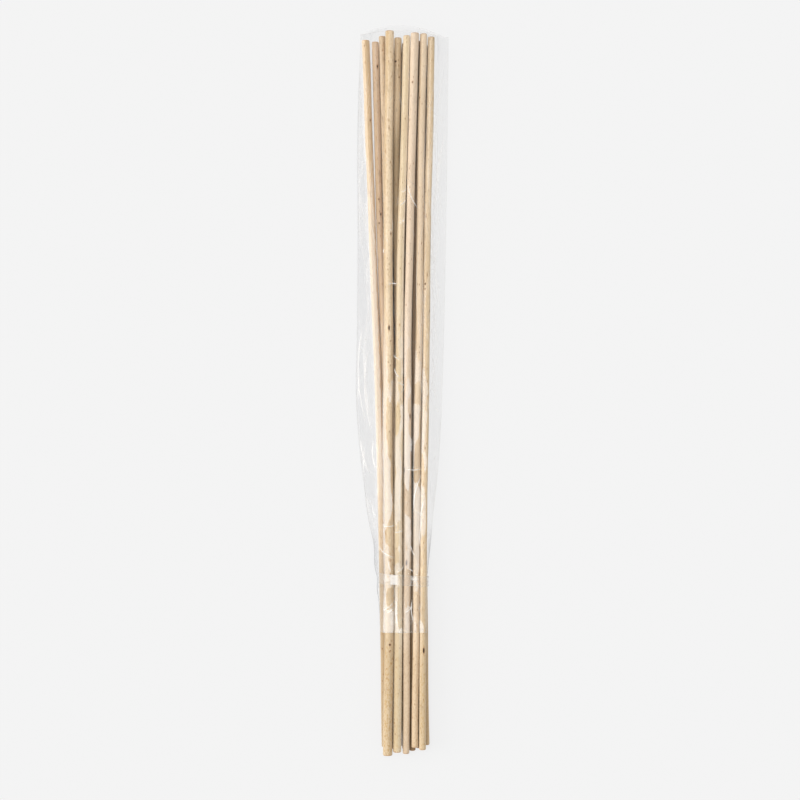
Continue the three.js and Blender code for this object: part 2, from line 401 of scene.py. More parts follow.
def move_points(made, x, y, z):
    """Moves all points of an object to places in millimetres."""
    places = np.stack([x, y, z], axis=1) * MM
    made.data.vertices.foreach_set("co", places.astype(np.float32).ravel())
    made.data.update()


def keep_value(made, name, values):
    """Keeps a number or vector of each point for the finish."""
    values = np.asarray(values, dtype=np.float32)
    kind, field = ("FLOAT", "value") if values.ndim == 1 else ("FLOAT_VECTOR", "vector")
    kept = made.data.attributes.new(name, kind, "POINT")
    kept.data.foreach_set(field, values.ravel())


TWIG_AROUND = 48
RING_STEP = 6.0
SCAR_RING_STEP = 0.7
SCAR_REACH = 4.5
PLAIN_FROM = 4.0  # how far from an end the plain rings start
INNER_FROM = 2.2
CLOSEST_RINGS = 0.35
# Rings of a rounded cut edge: how far from the end they lie, and how far they draw in.
END_RINGS = [(0.0, 1.0), (0.12, 0.66), (0.35, 0.36), (0.7, 0.14), (1.15, 0.02), (2.0, 0.0)]
CUT_EDGE_FROM = 0.25  # rings that draw in this far are all cut edge
FULLER = 0.15  # a twig's ridges reach past the mean circle of its solid
OUT_OF_ROUND = 0.03
UNEVEN = 0.04
FLATS = 6  # faint flat strips that peeling leaves along a twig
FLAT_DEPTH = 0.12
SWELL = 0.09  # of the skin round a scar, with its half length and half turn
SWELL_LENGTH = 7
SWELL_TURN = 1.1
PIT = 0.3  # depth of a scar. Its widths count in half sizes of the scar.
PIT_WIDE = 0.8
LIP = 0.1
LIP_AT = 1.35
LIP_WIDE = 0.45
STAIN_REACH = 2.5
TWIGS_APART = 1000  # keeps the grain of the twigs apart


def ring_stations(run, marks):
    """Stations of a twig's rings, and how far each draws in at the cut edges."""
    plain = np.arange(run.butt + PLAIN_FROM, run.tip - PLAIN_FROM, RING_STEP)
    close = [np.arange(y - SCAR_REACH, y + SCAR_REACH, SCAR_RING_STEP) for y, *_ in marks]
    inner = np.unique(np.concatenate([plain, *close]).round(1))
    inner = inner[(inner > run.butt + INNER_FROM) & (inner < run.tip - INNER_FROM)]
    inner = inner[np.concatenate([[True], np.diff(inner) > CLOSEST_RINGS])]
    away, drawn_in = np.array(END_RINGS).T
    stations = np.concatenate([run.butt + away, inner, run.tip - away[::-1]])
    return stations, np.concatenate([drawn_in, 0 * inner, drawn_in[::-1]])


def twig_relief(y, turn, radius, marks):
    """Height of the skin over a plain rod, and how deep in a scar a point lies."""
    height = np.zeros_like(y)
    depth = np.zeros_like(y)
    for mark_y, mark_turn, half_length, half_width, dark in marks:
        off = (turn - mark_turn + math.pi) % (2 * math.pi) - math.pi
        away = np.hypot((y - mark_y) / half_length, off * radius / half_width)
        lip = LIP * np.exp(-(((away - LIP_AT) / LIP_WIDE) ** 2))
        pit = PIT * np.exp(-((away / PIT_WIDE) ** 2))
        height += SWELL * np.exp(-(((y - mark_y) / SWELL_LENGTH) ** 2) - (off / SWELL_TURN) ** 2)
        height += dark * (lip - pit)
        depth = np.maximum(depth, dark * np.clip(1 - away / STAIN_REACH, 0, 1))
    return height, depth


def twig_piece(name, order):
    run = runs[name]
    stations, insets = ring_stations(run, scars[name])
    form, ring, column = ringed_tube(TWIG_AROUND, len(stations), True)
    made = add_mesh(name + "_dressed", form)
    turn = column * 2 * math.pi / TWIG_AROUND
    y = stations[ring]
    x, z, radius = run.at(y)
    relief, depth = twig_relief(y, turn, radius, scars[name])
    wave = np.sin(3 * turn + y / 37 + order) * np.sin(y / 23 + 2 * order)
    oval = OUT_OF_ROUND / 2 * (1 + np.sin(2 * turn + y / 90 + order))
    lean = y / 400 + 0.25 * np.sin(y / 90 + order) + order
    flats = FLAT_DEPTH * np.abs(np.sin(FLATS / 2 * turn + lean))
    reach = radius * (1 - oval) + FULLER + relief + UNEVEN * wave - flats - insets[ring]
    across = reach * np.cos(turn)
    up = reach * np.sin(turn)
    move_points(made, x + across, y, z + up)
    keep_value(made, "straight", np.stack([across, up, y + TWIGS_APART * order], axis=1))
    keep_value(made, "lean", lean)
    keep_value(made, "scar", depth)
    keep_value(made, "cut_edge", np.clip(insets[ring] / CUT_EDGE_FROM, 0, 1))
    for face in made.data.polygons:
        is_cut = len(face.vertices) > 4
        face.use_smooth = not is_cut
        face.material_index = int(is_cut)
    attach(made, "root")
    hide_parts(name)
    return made


twigs = {name: twig_piece(name, order) for order, name in enumerate(TWIG_NAMES)}
for name, made in twigs.items():
    print(made.name, len(made.data.polygons), "faces")

# %% [markdown]
# ## Peeled wood
# Peeled wood is pale and satin. Fibres and streaks run along it, its tone drifts, a few stains and pores
# darken it, and each bud scar is a dark pit with a warm rim. The pattern reads straightened places, whose
# third part runs along the twig, so the grain follows each bend. One function makes the finish of all
# twigs.

# %% Peeled wood
SCAR_BROWN = paint_of(62, 40, 28)
RIM_BROWN = paint_of(188, 138, 92)
PORE_BROWN = paint_of(158, 108, 66)
STAIN_BROWN = paint_of(160, 138, 112)
CUT_ORANGE = paint_of(196, 138, 88)
PITH_BROWN = paint_of(150, 108, 70)
RING_TONES = (paint_of(206, 170, 124), paint_of(226, 198, 158))
EDGE_ORANGE = paint_of(204, 146, 92)
BARE_FULL = -262 * MM  # below the film the wood is bare and a little darker
BARE_FROM = -238 * MM
SHADE_SOFT = 25 * MM
# Fibres, streaks, drift, speckle and blotches: scale across and along the twig, detail and roughness.
GRAIN = [
    (2.4, 0.05, 4.0, 0.6), (0.9, 0.008, 2.0, 0.6), (0.1, 0.016, 3.0, 0.6), (0.85, 0.4, 3.0, 0.65),
    (0.3, 0.06, 4.0, 0.65),
]
RIPPLE = (1.6, 0.01, 3.0, 0.5)
PORES = (0.36, 0.13)
# Pale, deep, tan, cream and painted shade: red, green and blue as shares of a twig's tone.
SHADES = [(1.06, 1.07, 1.1), (0.92, 0.885, 0.82), (0.84, 0.76, 0.6), (1.08, 1.1, 1.14), (0.8, 0.78, 0.74)]
GRAIN_DEPTH = 0.12 * MM
CUT_DEPTH = 0.15 * MM


def flat_strips(wood, straight, seed):
    """A random tone for each flat strip, and the way to the ridge between two."""
    turn = wood.math("ARCTAN2", wood.part(straight, "Y"), wood.part(straight, "X"))
    flat = (FLATS / 2 * turn + wood.attribute("lean")) * (1 / math.pi)
    number = wood.math("MODULO", wood.math("FLOOR", flat + 20 * FLATS), FLATS)
    one_line = {"noise_dimensions": "1D"}
    tone = wood.node("ShaderNodeTexWhiteNoise", one_line, {"W": number + seed}, output="Value")
    return tone, wood.math("PINGPONG", flat, 0.5)


def peeled_wood(name, seed, tone, mottled, stained, striped, shade_stretches):
    """A twig's skin. tone is its screen colour, and seed picks the tones of its strips."""
    wood = new_finish(name)
    straight = wood.attribute("straight", "Vector")
    fibres, streaks, drift, speckle, blotches = [wood.noise(straight, *kind) for kind in GRAIN]
    strip_tone, from_ridge = flat_strips(wood, straight, seed)
    pale, deep, tan, cream, painted_shade = [paint_of(*np.multiply(tone, shade).tolist()) for shade in SHADES]
    lightness = 0.3 * streaks + 0.4 * drift + 0.3 * strip_tone
    colour = wood.mix(wood.step(lightness, 0.25, 0.75), deep, pale)
    # A painted highlight: a cream line along the ridges between the flat strips.
    ridge_highlight = (1 - wood.step(from_ridge, 0.03, 0.1)) * wood.step(drift, 0.4, 0.6)
    along = wood.part(wood.node("ShaderNodeTexCoord", output="Object"), "Y")
    bare = 1 - wood.step(along, BARE_FULL, BARE_FROM)
    cells = {"Vector": wood.stretched(straight, *PORES), "Scale": 1.0}
    pores = wood.node("ShaderNodeTexVoronoi", {"feature": "F1"}, cells)
    ragged = wood.attribute("scar") + 0.22 * (fibres - 0.5)
    layers = [
        (0.7 * striped * wood.step(strip_tone, 0.5, 0.6), cream),
        (0.9 * striped * ridge_highlight, cream),
        (0.25 * wood.step(fibres, 0.5, 0.75), deep),
        (0.4 * bare, deep),
    ]
    # Stretches of painted shade: the twig is made darker there, as if lying in shadow.
    for *ends, share in shade_stretches:
        begun, ended = [wood.step(along, y * MM - SHADE_SOFT, y * MM + SHADE_SOFT) for y in ends]
        layers.append((share * begun * (1 - ended), painted_shade))
    layers += [
        (mottled * (0.45 + 0.55 * bare) * wood.step(speckle, 0.47, 0.62), tan),
        (stained * wood.step(blotches, 0.54, 0.7), STAIN_BROWN),
        (0.8 * (1 - wood.step(pores + 0.3 * drift, 0.2, 0.34)), PORE_BROWN),
        (0.55 * wood.step(ragged, 0.1, 0.5), RIM_BROWN),
        (wood.step(ragged, 0.48, 0.64), SCAR_BROWN),
        (0.6 * wood.attribute("cut_edge"), CUT_ORANGE),
    ]
    for share, paint in layers:
        colour = wood.mix(share, colour, paint)
    skin = {
        "Base Color": colour,
        "Roughness": 0.46 + 0.22 * fibres,
        "Normal": wood.bump(fibres + 0.6 * streaks + 0.4 * speckle, GRAIN_DEPTH),
        "Specular IOR Level": 0.35,
        "Sheen Weight": 0.8,
        "Sheen Roughness": 0.35,
        "Sheen Tint": (1.0, 0.93, 0.8, 1.0),
    }
    return wood.done(wood.principled(skin))


def cut_wood():
    """Growth rings round a soft pith, and a warm edge where the skin was."""
    wood = new_finish("cut_wood")
    straight = wood.attribute("straight", "Vector")
    flat = wood.stretched(straight, 1.0, 0.0)
    out = wood.node("ShaderNodeVectorMath", {"operation": "LENGTH"}, {0: flat}, output="Value")
    ripple = wood.noise(straight, *RIPPLE)
    ring = wood.math("SINE", 6.5 * out + 5 * ripple)
    colour = wood.mix(wood.step(ring, -1.0, 1.0), *RING_TONES)
    colour = wood.mix(1 - wood.step(out + 0.4 * ripple, 0.5, 1.0), colour, PITH_BROWN)
    colour = wood.mix(0.6 * wood.step(out, 2.3, 3.3), colour, EDGE_ORANGE)
    face = {
        "Base Color": colour,
        "Roughness": 0.65 + 0.15 * ripple,
        "Normal": wood.bump(ripple + 0.2 * ring, CUT_DEPTH),
    }
    return wood.done(wood.principled(face))


# Tone, mottling, staining and strips of each twig, and its stretches of painted shade: Y from and to, and
# how dark.
TWIG_LOOKS = {
    "twig_01": ((236, 210, 175), 0.4, 0.25, 0.3, [(-360, -165, 0.75), (-245, -165, 0.6)]),
    "twig_02": ((228, 202, 174), 0.45, 0.6, 0.4, []),
    "twig_03": ((232, 209, 178), 0.5, 0.6, 0.5, [(-360, -240, 0.3)]),
    "twig_04": ((240, 216, 180), 0.9, 0.3, 0.5, [(-360, -155, 0.4), (-150, -60, 0.25)]),
    "twig_05": ((238, 212, 173), 0.5, 0.4, 0.4, [(90, 250, 0.9), (-260, -165, 1.0)]),
    # twig_06 lies in the gaps under the others, and its dark tone is painted shade.
    "twig_06": ((168, 142, 110), 0.4, 0.3, 0.3, []),
    "twig_07": ((252, 234, 203), 0.5, 0.1, 0.5, [(-360, -155, 0.38), (-150, -60, 0.15)]),
    "twig_08": ((229, 205, 175), 0.35, 0.2, 0.9, [(-260, -60, 0.15)]),
    # twig_09 lies in the gaps under the others, and its dark tone is painted shade.
    "twig_09": ((164, 136, 104), 0.3, 0.3, 0.3, []),
    "twig_10": ((231, 206, 172), 0.35, 0.15, 0.9, [(-175, -50, 0.35)]),
    "twig_11": ((245, 222, 187), 0.6, 0.35, 0.4, [(-360, -190, 0.4)]),
    "twig_12": ((220, 194, 158), 0.4, 0.3, 0.6, []),
}
end_finish = cut_wood()
for order, (name, look) in enumerate(TWIG_LOOKS.items()):
    twigs[name].data.materials.append(peeled_wood(name + "_wood", 10 * order, *look))
    twigs[name].data.materials.append(end_finish)
print(len(TWIG_LOOKS), "tones of peeled wood")

# %% [markdown]
# ## Lie of the film
# The sleeve is a flat tube of thin film with the twigs slid into it. Over the twigs it is pulled tight, at
# both sides it runs down to a fold near the floor, and underneath it lies flat. A cloth simulation of film
# this thin over twelve rods is slow and jumpy. So each row is worked out as what a taut film does: the
# outline round the twigs and the two folds, tight where nothing carries it.

# %% Lie of the film
FILM_CLEAR = 0.42
FOLD_RADIUS = 0.7
SLEEVE_BOTTOM = -233.5
MOUTH_MIDDLE = 352.5
TIP_SLOPE = 0.4
UNDER_WOOD = 0.55  # how far the film lies below the wood, and how near the floor it may come
LEAST_LIE = 0.12
# Stations along Y, and X of the film's left and right edge there.
EDGES = np.array([
    [-233.5, -203, -193, -183, -172, -150, -125, -87, -55, -10, 60, 150, 250, 352.5],
    [-21.8, -23.4, -24.8, -24.6, -27, -28, -33.4, -38.2, -42, -45, -44.2, -43.6, -43.8, -40.6],
    [23.9, 24.2, 24.4, 24.4, 25, 27.3, 29.6, 33.8, 36.3, 38.5, 40.5, 42.4, 43.9, 45],
])
FINE_STEP = 1.5
FINE_UP_TO = -90
PLAIN_ROWS = 205

fine_rows = np.arange(SLEEVE_BOTTOM, FINE_UP_TO, FINE_STEP)
plain_rows = np.linspace(FINE_UP_TO, MOUTH_MIDDLE, PLAIN_ROWS)
rows = np.concatenate([fine_rows, plain_rows])
row_left, row_right = [smooth_run(EDGES[0], edge, rows) for edge in EDGES[1:]]


def wood_line(x, i):
    """Upper outline of the twigs at x in row i, and the lying film where no twig is."""
    y = rows[i]
    line = np.full_like(x, lie_of_floor[i])
    for run in runs.values():
        past = max(0.0, y - run.tip)
        cx, cz, r = run.at(min(y, run.tip))
        half = r + FILM_CLEAR
        arc = np.sqrt(np.clip(half**2 - (x - cx) ** 2, 0, None))
        inside = np.abs(x - cx) < half
        line = np.where(inside, np.maximum(line, cz + arc - past * TIP_SLOPE), line)
    return line


def taut(x, line):
    """The upper hull of a line: what a film pulled tight over it does."""
    kept = []
    for i in range(len(x)):
        while len(kept) > 1:
            a, b = kept[-2], kept[-1]
            rise = (line[b] - line[a]) * (x[i] - x[a]) - (line[i] - line[a]) * (x[b] - x[a])
            if rise > 0:
                break
            kept.pop()
        kept.append(i)
    return np.interp(x, x[kept], line[kept])


lowest = np.array([min(run.at(max(y, run.butt))[1] - run.at(y)[2] for run in runs.values()) for y in rows])
lie_of_floor = np.maximum(lowest - UNDER_WOOD, LEAST_LIE)
print(len(rows), "rows of film, lying up to", lie_of_floor.max().round(2), "mm over the floor")

# %% [markdown]
# ## Rows of the film
# Each row of the upper sheet starts from the taut line over the wood, gives way a little between the twigs
# and comes down limp at both sides. The lower sheet lies flat. Each row also notes how white the film can
# get, partly as haze where it stands off the wood and partly as painted reflection, and how grey beside it,
# where the grey down the left side is painted shade. Past the tips its dents are filled, because nothing
# there pulls it down.

# %% Rows of the film
TOP_COLUMNS = 108
UNDER_COLUMNS = 36
TAPE_Y = -183
LATTICE = 97
WOOD_FROM = 2.0  # film this far above the floor lies over wood
LIMP_REACH = 5.0  # how far past the wood the film has come down
UPPER_ROW = 4.0  # wood this far below the film's top is still of the upper row
# How close film between the twigs comes to the wood, and how far it may give way.
CLOSE = (0.2, 0.6, 0.12)
GIVES = (3.5, 4.5)


def corners(across, along, heights):
    """The four lattice heights round each place, and where it lies between them."""
    i = np.floor(across).astype(int)
    j = np.floor(along).astype(int)
    four = [heights[(i + right) % LATTICE, (j + ahead) % LATTICE] for ahead in (0, 1) for right in (0, 1)]
    return four, across - i, along - j


def soft_noise(across, along, seed):
    """Smooth random heights from -1 to 1, on a lattice of unit size."""
    heights = np.random.default_rng(seed).uniform(-1, 1, (LATTICE, LATTICE))
    (h00, h10, h01, h11), u, v = corners(across, along, heights)
    u = u * u * (3 - 2 * u)
    v = v * v * (3 - 2 * v)
    return (h00 * (1 - u) + h10 * u) * (1 - v) + (h01 * (1 - u) + h11 * u) * v


def ramp(value, low, high):
    """0 at low and 1 at high, with a soft step between."""
    t = np.clip((value - low) / (high - low), 0, 1)
    return t * t * (3 - 2 * t)


def white_at(x, y, low_side, clings):
    """How white the film can get, partly haze where it stands off and partly painted reflection, most of all
    on the skirt and on the outermost low twig.
    """
    upper = (0.03 + 0.97 * (1 - ramp(y, -20, 110))) * (0.82 + 0.18 * ramp(y, -170, -90))
    upper += 0.45 * (1 - ramp(y, -205, -190))
    upper += 0.2 * ramp(y, -165, -140) * (1 - ramp(y, -70, -30))
    outer = 0.75 * ramp(y, -150, -60) * (1 - ramp(y, 110, 240))
    first_x, _, first_radius = runs["twig_01"].at(min(y, runs["twig_01"].tip))
    lower = outer * np.where(x < first_x + 0.6 * first_radius, 1, 0.1)
    return np.where(low_side, lower, upper * (0.08 + 0.92 * clings))


def grey_at(x, y):
    """How grey film beside the wood is: fully near the tape, where it is gathered, and a little down its
    left side as painted shade.
    """
    gathered = 1 - ramp(abs(y - TAPE_Y), 25, 60)
    return np.maximum(gathered, np.where(x < 0, 0.25 - 0.15 * ramp(y, 280, 330), 0))


def row_base(columns, i):
    """X across row i, closer at its two folds, their height, and how far their round has risen."""
    even = np.linspace(0, 1, columns + 1)
    share = 0.55 * even + 0.45 * (1 - np.cos(math.pi * even)) / 2
    x = row_left[i] + (row_right[i] - row_left[i]) * share
    inward = np.clip(np.minimum(x - x[0], x[-1] - x) / FOLD_RADIUS, 0, 1)
    curl = FOLD_RADIUS * np.sqrt(np.clip(1 - (1 - inward) ** 2, 0, 1))
    return x, lie_of_floor[i] + FOLD_RADIUS, curl


def under_row(i):
    x, fold_z, curl = row_base(UNDER_COLUMNS, i)
    return x, fold_z - curl, 0 * x, 0 * x


def upper_row(i):
    """X and Z of the upper sheet in row i, and how white and how grey it can get."""
    y = rows[i]
    x, fold_z, curl = row_base(TOP_COLUMNS, i)
    wood = wood_line(x, i)
    outline = np.maximum(wood, fold_z + curl)
    tight = taut(x, outline)
    on_wood = wood > lie_of_floor[i] + WOOD_FROM
    clings = np.where(on_wood, 1 - ramp(tight - outline, 0.8, 3.0), 0)
    first_high = x[wood > tight.max() - UPPER_ROW][0]
    low_side = on_wood & (x < first_high)
    whitens = white_at(x, y, low_side, clings)
    greys = np.where(on_wood, 0, grey_at(x, y))
    first, last = x[on_wood][[0, -1]]
    limp = ramp(np.maximum(np.maximum(first - x, x - last), 0), 0, LIMP_REACH)
    close = CLOSE[0] + CLOSE[1] * limp + CLOSE[2] * soft_noise(x / 9, np.full_like(x, y / 40), 3)
    z = tight - close * np.minimum(tight - outline, GIVES[0] + GIVES[1] * limp)
    return x, z, whitens, greys


def film_sheet(row_of):
    """All rows of a sheet: their places, and how white and how grey they can get."""
    made = [row_of(i) for i in range(len(rows))]
    x, z, whitens, greys = [np.array(values) for values in zip(*made)]
    y = np.repeat(rows[:, None], x.shape[1], axis=1)
    return np.stack([x, y, z], axis=2), whitens, greys


MOUTH_FROM = 318  # from here on the twigs end one by one
MOUTH_ROUNDS = 60


def evened_mouth(places):
    """Fills the dents past the twigs' tips, round by round, and never lets the film sink."""
    past = rows > MOUTH_FROM
    z = places[:, :, 2]
    for _ in range(MOUTH_ROUNDS):
        even = z.copy()
        even[:, 1:-1] = (z[:, :-2] + 2 * z[:, 1:-1] + z[:, 2:]) / 4
        even[1:-1] = (even[:-2] + 2 * even[1:-1] + even[2:]) / 4
        z[past] = np.maximum(z, even)[past]


top, top_whitens, top_greys = film_sheet(upper_row)
evened_mouth(top)
under, under_whitens, under_greys = film_sheet(under_row)
print("film rises to", top[:, :, 2].max().round(2), "mm")

# %% [markdown]
# ## Creases of the film
# Thin film doesn't stretch, so where it is gathered it folds, and where it was handled it keeps sharp
# creases. Long pleats run down the loose sides, short ones fan out from the tape, and small crumples lie
# all over. On the upper sheet they only lift the film, so it stays clear of the twigs. The larger creases
# and patches follow the photograph.

# %% Creases of the film
# The larger creases of the photograph: X and Y of both ends, width and height, in mm.
SEEN_CREASES = [
    (-40.1, -48.8, -31.9, -79.8, 2.6, 1.0), (-36.3, -53.7, -30.5, -123.3, 2.4, 0.8),
    (-29.5, -105.9, -24.7, -122.3, 2.2, 0.8), (-27.6, -47.9, -24.7, -76.9, 2.4, 0.5),
    (-41.5, 10.0, -39.5, -60.0, 2.4, 0.7), (-39.0, 60.0, -36.0, -30.0, 3.0, 0.5),
    (-33.5, 40.0, -30.0, -40.0, 2.6, 0.4), (-18.9, -130.5, -7.3, -130.0, 1.4, 0.45),
    (-7.3, -137.0, 0.0, -135.0, 1.4, 0.4), (-22.7, -150.4, -9.2, -161.0, 1.6, 0.6),
    (-13.0, -164.0, -11.0, -175.5, 1.6, 0.5), (-5.3, -175.5, 1.5, -168.7, 1.5, 0.5),
    (6.3, -171.6, 10.2, -174.5, 1.5, 0.5), (3.4, -75.9, 17.0, -75.9, 1.4, 0.4),
    (17.4, -82.7, 11.1, -115.6, 1.8, 0.6), (20.8, -106.4, 17.9, -134.9, 1.8, 0.6),
    (18.9, -125.2, 17.0, -149.4, 1.8, 0.6), (7.3, -149.4, 12.1, -159.1, 1.6, 0.6),
    (-17.9, -212.3, -8.2, -202.6, 1.6, 0.7), (-14.5, -214.2, -8.2, -208.9, 1.6, 0.6),
    (-5.3, -202.6, -3.4, -231.0, 2.2, 0.5), (2.4, -214.2, 9.2, -208.4, 1.8, 0.5),
    (9.2, -202.6, 10.2, -222.0, 1.6, 0.5), (-0.5, 191.0, 3.4, 193.9, 1.0, 0.4),
    (-2.4, 178.4, 3.4, 184.2, 1.0, 0.4), (5.3, 197.7, 14.0, 176.5, 1.1, 0.35),
    (-3.9, 162.0, 2.4, 164.9, 1.0, 0.4), (-12.1, 156.2, -11.1, 153.3, 1.0, 0.4),
    (-15.5, 142.6, -14.5, 144.6, 1.0, 0.4), (-17.9, 136.8, -17.9, 132.0, 1.0, 0.35),
    (-13.1, 102.0, -11.1, 103.5, 1.0, 0.4), (-11.1, 103.5, -5.3, 103.0, 1.0, 0.4),
    (-9.2, 34.3, -1.5, 29.0, 1.1, 0.4), (-8.2, 20.8, -2.4, 12.1, 1.1, 0.4),
    (-4.4, 8.2, 1.5, 5.3, 1.1, 0.35),
]
# Patches where the film shows white (gain over 0), partly haze where it stands off and partly painted
# reflection, or lies clear on the wood: X, Y, half sizes and gain.
SEEN_PATCHES = [
    (-10.6, -223, 4.2, 11, 1.0), (-5.6, -216, 1.2, 18, 0.9), (2.0, -231, 8.0, 3.5, 0.9),
    (6.0, -221, 3.4, 11, 0.9), (-12.5, -199, 2.6, 9, -1.0), (-1.9, -210, 2.4, 17, -1.0),
    (-11.0, -169, 2.0, 8, -1.0), (13.6, -165, 3.0, 12, 0.8), (-13.6, -92, 3.4, 38, 0.6),
    (-9.4, -85, 1.8, 15, -1.4), (-13.0, -140, 4.2, 8, -1.2), (-4.2, -95, 2.8, 40, 0.8),
    (5.2, -85, 2.6, 30, 0.6), (14.2, -68, 2.8, 20, -1.0), (13.6, -110, 2.6, 18, 0.9),
    (22.4, -75, 2.0, 13, 0.8), (21.8, -125, 2.4, 18, 0.4),
]
CREASE_SEED = 12
STREWN_CREASES = 110
STREWN_CROWDING = 1.35  # over 1 draws the strewn creases towards the tape
STREWN_INSET = 3
STREWN_LEAN = 0.55
LONG_PLEATS = 34
TAPE_WIDTH = 9.4


def edges_at(y):
    return np.interp(y, rows, row_left), np.interp(y, rows, row_right)


def strewn_creases():
    """Small creases at random over the film, more of them towards the tape."""
    dice = np.random.default_rng(CREASE_SEED)
    found = []
    for _ in range(STREWN_CREASES):
        y = SLEEVE_BOTTOM + (MOUTH_MIDDLE - SLEEVE_BOTTOM) * dice.random() ** STREWN_CROWDING
        left, right = edges_at(y)
        x = dice.uniform(left + STREWN_INSET, right - STREWN_INSET)
        length = dice.uniform(4, 15)
        lean = dice.normal(0, STREWN_LEAN)
        end_x = x + length * math.sin(lean)
        end_y = y + length * math.cos(lean)
        found.append((x, y, end_x, end_y, dice.uniform(0.9, 1.7), dice.uniform(0.08, 0.3)))
    return found


def long_pleats():
    """Long shallow pleats at random down both loose sides of the film."""
    dice = np.random.default_rng(CREASE_SEED + 1)
    found = []
    for order in range(LONG_PLEATS):
        top_y = dice.uniform(20, 330)
        low_y = top_y - dice.uniform(60, 170)
        share = dice.uniform(0.02, 0.2)
        gain = dice.uniform(-0.02, 0.05)
        ends = []
        for y, at in ((top_y, share), (low_y, share + gain)):
            left, right = edges_at(y)
            at = at if order % 2 else 1 - at
            ends.extend((left + (right - left) * at, y))
        found.append((*ends, dice.uniform(1.2, 2.6), dice.uniform(0.12, 0.4)))
    return found


LINE_REACH = 2.6  # how far off a point still knows its crease
# The white lines of creases are partly stress whitening and partly painted glints.
SEEN_WHITE = 0.9
STREWN_WHITE = 0.2


def crease_lift(x, y, creases):
    """How far creases lift the film, the way to the nearest one, and how strong its line is."""
    lift = np.zeros_like(x)
    line_off = np.full_like(x, LINE_REACH)
    line_strength = np.zeros_like(x)
    for x0, y0, x1, y1, width, height, whiteness in creases:
        length = math.hypot(x1 - x0, y1 - y0)
        ux = (x1 - x0) / length
        uy = (y1 - y0) / length
        along = (x - x0) * ux + (y - y0) * uy
        bow = 0.06 * length * np.sin(math.pi * np.clip(along / length, 0, 1))
        off = (x - x0) * uy - (y - y0) * ux - bow
        away = np.abs(off)
        fade = ramp(along, -0.1 * length, 0.25 * length) * (1 - ramp(along, 0.75 * length, 1.1 * length))
        tent = np.clip(1 - away / width, 0, 1) * fade
        lift = np.maximum(lift, height * tent)
        strength = whiteness * fade * np.clip((LINE_REACH - away) / 0.8, 0, 1)
        nearer = (strength > 0.02) & (away < np.abs(line_off))
        line_off = np.where(nearer, off, line_off)
        line_strength = np.where(nearer, strength, line_strength)
    return lift, line_off, line_strength


def gathers(x, y, left, right, seed):
    """Pleats that fan out from the tape, 11 across the film with 7 broader ones."""
    share = (x - left) / (right - left)
    bend = 0.35 * soft_noise(share * 5, y / 45, seed)
    wave = 1 - np.abs(np.sin(math.pi * (11 * share + bend)))
    wave = 0.6 * wave + 0.4 * (1 - np.abs(np.sin(math.pi * (7 * share - bend + 0.3))))
    away = np.abs(y - TAPE_Y)
    strength = ramp(away, TAPE_WIDTH / 2, 22) * np.where(y > TAPE_Y, 1 - ramp(away, 22, 125), 1.0)
    return strength * wave * (0.65 + 0.45 * soft_noise(share * 4, y / 28, seed + 1))


def facets(across, along, seed):
    """Random heights on a warped lattice, joined by flat triangles."""
    warp_across = across + 0.45 * soft_noise(0.8 * across, 0.8 * along, seed + 50)
    warp_along = along + 0.45 * soft_noise(0.8 * across, 0.8 * along, seed + 51)
    heights = np.random.default_rng(seed).random((LATTICE, LATTICE))
    (h00, h10, h01, h11), u, v = corners(warp_across, warp_along, heights)
    near = h00 + u * (h10 - h00) + v * (h01 - h00)
    far = h11 + (1 - u) * (h01 - h11) + (1 - v) * (h10 - h11)
    return np.where(u + v < 1, near, far)


def crumples(x, y, seed):
    """Long facets along the bundle with small ones on them."""
    long = facets(x / 8 + 0.12 * y / 8, y / 30, seed)
    small = facets(x / 4.5 - 0.2 * y / 4.5, y / 11, seed + 1)
    return 0.7 * long + 0.3 * small


def outward(places, side):
    """The unit direction out of the film at each place."""
    normal = np.cross(np.gradient(places, axis=1), np.gradient(places, axis=0)) * side
    return normal / np.linalg.norm(normal, axis=2, keepdims=True)


GATHER_HEIGHT = 0.5
CRUMPLE_HEIGHT = 1.5
UNDER_SHARE = 0.3  # creases of the lower sheet are pressed flat
OVER_FLOOR = 0.08


def creased(places, side):
    """The creased sheet, the way to the nearest crease, and the strength of its line."""
    x, y, _ = np.moveaxis(places, 2, 0)
    left = row_left[:, None]
    right = row_right[:, None]
    off_fold = ramp(np.minimum(x - left, right - x), 0.2, 3.0)
    free = (0.22 + 0.78 * (1 - ramp(y, -60, 60))) * (1 - 0.8 * ramp(y, 300, 345))
    under_tape = 1 - 0.75 * (1 - ramp(np.abs(y - TAPE_Y), TAPE_WIDTH / 2, TAPE_WIDTH / 2 + 6))
    lift = GATHER_HEIGHT * gathers(x, y, left, right, 20 + side)
    lift += CRUMPLE_HEIGHT * free * crumples(x, y, 30 + side)
    creases = [(*crease, SEEN_WHITE) for crease in SEEN_CREASES if side > 0]
    creases += [(*crease, STREWN_WHITE) for crease in long_pleats() + strewn_creases()]
    folds, line_off, line_strength = crease_lift(x, y, creases)
    smooth_mouth = 1 - 0.95 * ramp(y, 265, 325)
    lift = (lift + folds) * smooth_mouth * off_fold * under_tape
    if side < 0:
        lift = np.minimum(lift * UNDER_SHARE, lie_of_floor[:, None] - OVER_FLOOR)
    lifted = places + outward(places, side) * lift[:, :, None]
    return lifted, line_off, line_strength * off_fold * (1 - ramp(y, 290, 335))


